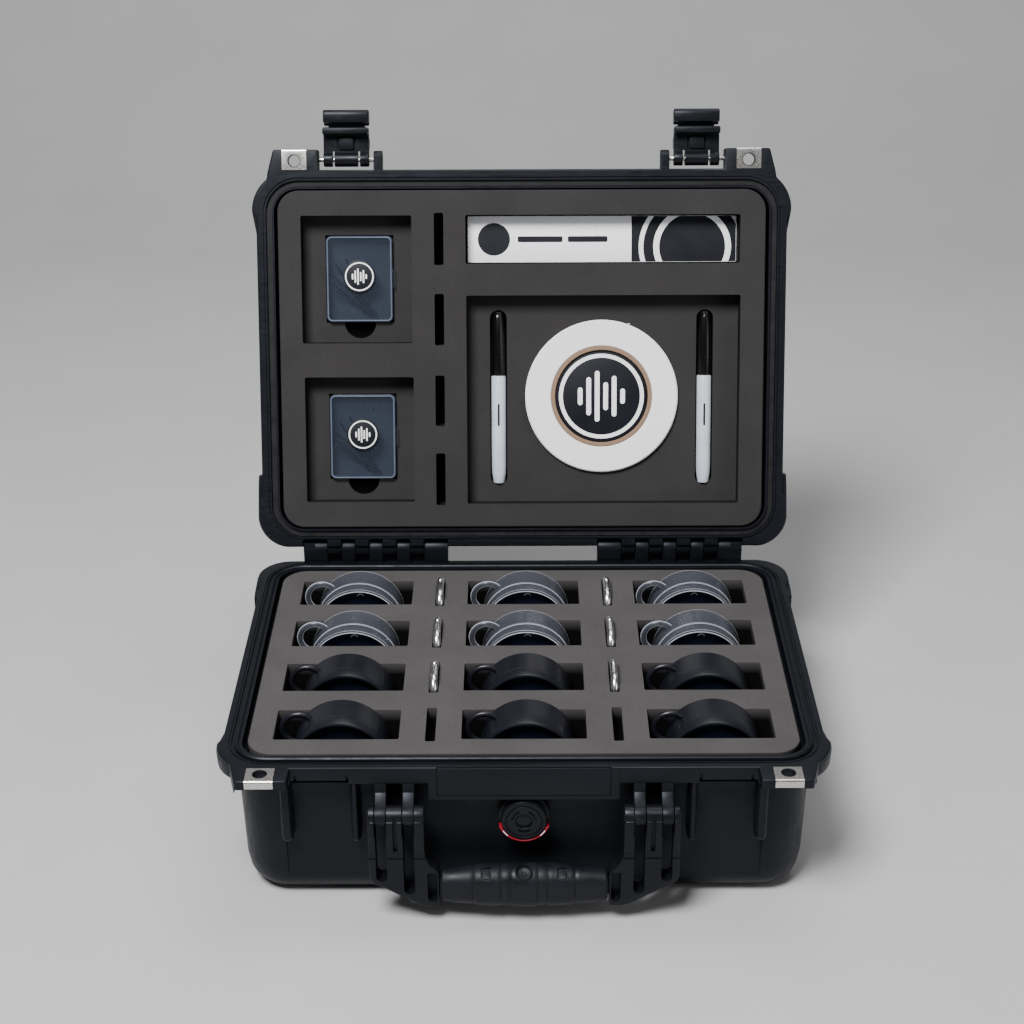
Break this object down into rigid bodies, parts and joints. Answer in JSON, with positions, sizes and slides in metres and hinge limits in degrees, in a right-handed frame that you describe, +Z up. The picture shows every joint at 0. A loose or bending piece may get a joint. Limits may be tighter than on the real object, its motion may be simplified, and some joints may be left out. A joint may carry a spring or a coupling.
{
  "type": "in ear monitor carrying case",
  "caption": "Hard protective case with cut foam that holds round in-ear monitor pods, snap clips, small parts boxes, markers, a roll of tape and a card; hinged lid, latches, carrying handle.",
  "frame": {"origin": "centre of the base's flat underside", "axes": "+Z up, +X to the right seen from the front, the handle and latches on the -Y side"},
  "size_m": [0.4044, 0.4298, 0.44],
  "materials": {
    "case_plastic": "moulded, fine texture, near black",
    "base_foam": "closed-cell foam, dark warm grey",
    "lid_foam": "closed-cell foam, dark warm grey",
    "steel": "stamped stainless steel",
    "chrome": "polished plating",
    "grip_rubber": "soft moulded grip",
    "gasket": "seal cord",
    "red_seal": "red ring",
    "clear_pod": "clear smoke plastic",
    "black_pod": "satin black plastic",
    "box_plastic": "frosted clear plastic",
    "tape_paper": "white cloth tape, wound edge",
    "cardboard": "brown board",
    "core_print": "dark disc with plain ring",
    "marker_barrel": "pale grey",
    "marker_cap": "black",
    "card_print": "coated white card"
  },
  "bodies": {
    "case": {"case_base": "case_plastic", "hinge_pin_left": "steel", "hinge_pin_right": "steel", "handle_pin_left": "steel", "handle_pin_right": "steel", "padlock_plate_base_left": "steel", "padlock_plate_base_right": "steel", "name_plate": "case_plastic", "valve_body": "case_plastic", "valve_seal": "red_seal", "base_foam": "base_foam", "base_foam_pad": "base_foam"},
    "lid": {"case_lid": "case_plastic", "lid_gasket": "gasket", "padlock_plate_lid_left": "steel", "padlock_plate_lid_right": "steel", "latch_pin_left": "steel", "latch_pin_right": "steel", "lid_foam_frame": "lid_foam", "lid_foam_tray": "lid_foam"},
    "latch_hook_left": {"latch_hook_left": "case_plastic"},
    "latch_lever_left": {"latch_lever_left": "case_plastic"},
    "latch_hook_right": {"latch_hook_right": "case_plastic"},
    "latch_lever_right": {"latch_lever_right": "case_plastic"},
    "handle": {"handle_frame": "case_plastic", "handle_grip": "grip_rubber"},
    "clear_pod_1_1": {"clear_pod_1_1": "clear_pod"},
    "clear_pod_1_2": {"clear_pod_1_2": "clear_pod"},
    "clear_pod_1_3": {"clear_pod_1_3": "clear_pod"},
    "clear_pod_2_1": {"clear_pod_2_1": "clear_pod"},
    "clear_pod_2_2": {"clear_pod_2_2": "clear_pod"},
    "clear_pod_2_3": {"clear_pod_2_3": "clear_pod"},
    "black_pod_3_1": {"black_pod_3_1": "black_pod"},
    "black_pod_3_2": {"black_pod_3_2": "black_pod"},
    "black_pod_3_3": {"black_pod_3_3": "black_pod"},
    "black_pod_4_1": {"black_pod_4_1": "black_pod"},
    "black_pod_4_2": {"black_pod_4_2": "black_pod"},
    "black_pod_4_3": {"black_pod_4_3": "black_pod"},
    "snap_clip_left_1": {"snap_clip_left_1": "chrome"},
    "snap_clip_left_2": {"snap_clip_left_2": "chrome"},
    "snap_clip_left_3": {"snap_clip_left_3": "chrome"},
    "snap_clip_right_1": {"snap_clip_right_1": "chrome"},
    "snap_clip_right_2": {"snap_clip_right_2": "chrome"},
    "snap_clip_right_3": {"snap_clip_right_3": "chrome"},
    "parts_box_upper": {"parts_box_upper": "box_plastic"},
    "parts_box_lid_upper": {"parts_box_lid_upper": "box_plastic"},
    "parts_box_lower": {"parts_box_lower": "box_plastic"},
    "parts_box_lid_lower": {"parts_box_lid_lower": "box_plastic"},
    "tape": {"tape_roll": "tape_paper", "tape_core": "cardboard", "core_disc": "core_print"},
    "marker_left": {"marker_barrel_left": "marker_barrel", "marker_cap_left": "marker_cap"},
    "marker_right": {"marker_barrel_right": "marker_barrel", "marker_cap_right": "marker_cap"},
    "card": {"printed_card": "card_print"}
  },
  "joints": [
    {"name": "lid_hinge", "type": "hinge", "parent": "case", "child": "lid", "pos_m": [0, 0.1447, 0.1225], "axis": [-1, 0, 0], "range_deg": [-107.9, 0]},
    {"name": "latch_hook_left_swing", "type": "hinge", "parent": "lid", "child": "latch_hook_left", "pos_m": [-0.131, 0.2321, 0.40449], "axis": [-1, 0, 0], "range_deg": [-90, 0]},
    {"name": "latch_lever_left_flip", "type": "hinge", "parent": "latch_hook_left", "child": "latch_lever_left", "pos_m": [-0.131, 0.24226, 0.41382], "axis": [-1, 0, 0], "range_deg": [0, 60]},
    {"name": "latch_hook_right_swing", "type": "hinge", "parent": "lid", "child": "latch_hook_right", "pos_m": [0.131, 0.2321, 0.40449], "axis": [-1, 0, 0], "range_deg": [-90, 0]},
    {"name": "latch_lever_right_flip", "type": "hinge", "parent": "latch_hook_right", "child": "latch_lever_right", "pos_m": [0.131, 0.24226, 0.41382], "axis": [-1, 0, 0], "range_deg": [0, 60]},
    {"name": "handle_swing", "type": "hinge", "parent": "case", "child": "handle", "pos_m": [0, -0.1515, 0.0807], "axis": [-1, 0, 0], "range_deg": [0, 90]},
    {"name": "clear_pod_1_1_lift", "type": "slide", "parent": "case", "child": "clear_pod_1_1", "axis": [0, 0, 1], "range_m": [0, 0.06]},
    {"name": "clear_pod_1_2_lift", "type": "slide", "parent": "case", "child": "clear_pod_1_2", "axis": [0, 0, 1], "range_m": [0, 0.06]},
    {"name": "clear_pod_1_3_lift", "type": "slide", "parent": "case", "child": "clear_pod_1_3", "axis": [0, 0, 1], "range_m": [0, 0.06]},
    {"name": "clear_pod_2_1_lift", "type": "slide", "parent": "case", "child": "clear_pod_2_1", "axis": [0, 0, 1], "range_m": [0, 0.06]},
    {"name": "clear_pod_2_2_lift", "type": "slide", "parent": "case", "child": "clear_pod_2_2", "axis": [0, 0, 1], "range_m": [0, 0.06]},
    {"name": "clear_pod_2_3_lift", "type": "slide", "parent": "case", "child": "clear_pod_2_3", "axis": [0, 0, 1], "range_m": [0, 0.06]},
    {"name": "black_pod_3_1_lift", "type": "slide", "parent": "case", "child": "black_pod_3_1", "axis": [0, 0, 1], "range_m": [0, 0.06]},
    {"name": "black_pod_3_2_lift", "type": "slide", "parent": "case", "child": "black_pod_3_2", "axis": [0, 0, 1], "range_m": [0, 0.06]},
    {"name": "black_pod_3_3_lift", "type": "slide", "parent": "case", "child": "black_pod_3_3", "axis": [0, 0, 1], "range_m": [0, 0.06]},
    {"name": "black_pod_4_1_lift", "type": "slide", "parent": "case", "child": "black_pod_4_1", "axis": [0, 0, 1], "range_m": [0, 0.06]},
    {"name": "black_pod_4_2_lift", "type": "slide", "parent": "case", "child": "black_pod_4_2", "axis": [0, 0, 1], "range_m": [0, 0.06]},
    {"name": "black_pod_4_3_lift", "type": "slide", "parent": "case", "child": "black_pod_4_3", "axis": [0, 0, 1], "range_m": [0, 0.06]},
    {"name": "snap_clip_left_1_lift", "type": "slide", "parent": "case", "child": "snap_clip_left_1", "axis": [0, 0, 1], "range_m": [0, 0.045]},
    {"name": "snap_clip_left_2_lift", "type": "slide", "parent": "case", "child": "snap_clip_left_2", "axis": [0, 0, 1], "range_m": [0, 0.045]},
    {"name": "snap_clip_left_3_lift", "type": "slide", "parent": "case", "child": "snap_clip_left_3", "axis": [0, 0, 1], "range_m": [0, 0.045]},
    {"name": "snap_clip_right_1_lift", "type": "slide", "parent": "case", "child": "snap_clip_right_1", "axis": [0, 0, 1], "range_m": [0, 0.045]},
    {"name": "snap_clip_right_2_lift", "type": "slide", "parent": "case", "child": "snap_clip_right_2", "axis": [0, 0, 1], "range_m": [0, 0.045]},
    {"name": "snap_clip_right_3_lift", "type": "slide", "parent": "case", "child": "snap_clip_right_3", "axis": [0, 0, 1], "range_m": [0, 0.045]},
    {"name": "parts_box_upper_lift", "type": "slide", "parent": "lid", "child": "parts_box_upper", "axis": [0, -0.9516, 0.3074], "range_m": [0, 0.03]},
    {"name": "parts_box_lid_upper_hinge", "type": "hinge", "parent": "parts_box_upper", "child": "parts_box_lid_upper", "pos_m": [-0.1485, 0.21132, 0.31736], "axis": [0, -0.3074, -0.9516], "range_deg": [0, 95]},
    {"name": "parts_box_lower_lift", "type": "slide", "parent": "lid", "child": "parts_box_lower", "axis": [0, -0.9516, 0.3074], "range_m": [0, 0.03]},
    {"name": "parts_box_lid_lower_hinge", "type": "hinge", "parent": "parts_box_lower", "child": "parts_box_lid_lower", "pos_m": [-0.1477, 0.17428, 0.20269], "axis": [0, -0.3074, -0.9516], "range_deg": [0, 95]},
    {"name": "tape_lift", "type": "slide", "parent": "lid", "child": "tape", "axis": [0, -0.9516, 0.3074], "range_m": [0, 0.03]},
    {"name": "marker_left_lift", "type": "slide", "parent": "lid", "child": "marker_left", "axis": [0, -0.9516, 0.3074], "range_m": [0, 0.025]},
    {"name": "marker_right_lift", "type": "slide", "parent": "lid", "child": "marker_right", "axis": [0, -0.9516, 0.3074], "range_m": [0, 0.025]},
    {"name": "card_lift", "type": "slide", "parent": "lid", "child": "card", "axis": [0, -0.9516, 0.3074], "range_m": [0, 0.02]}
  ]
}
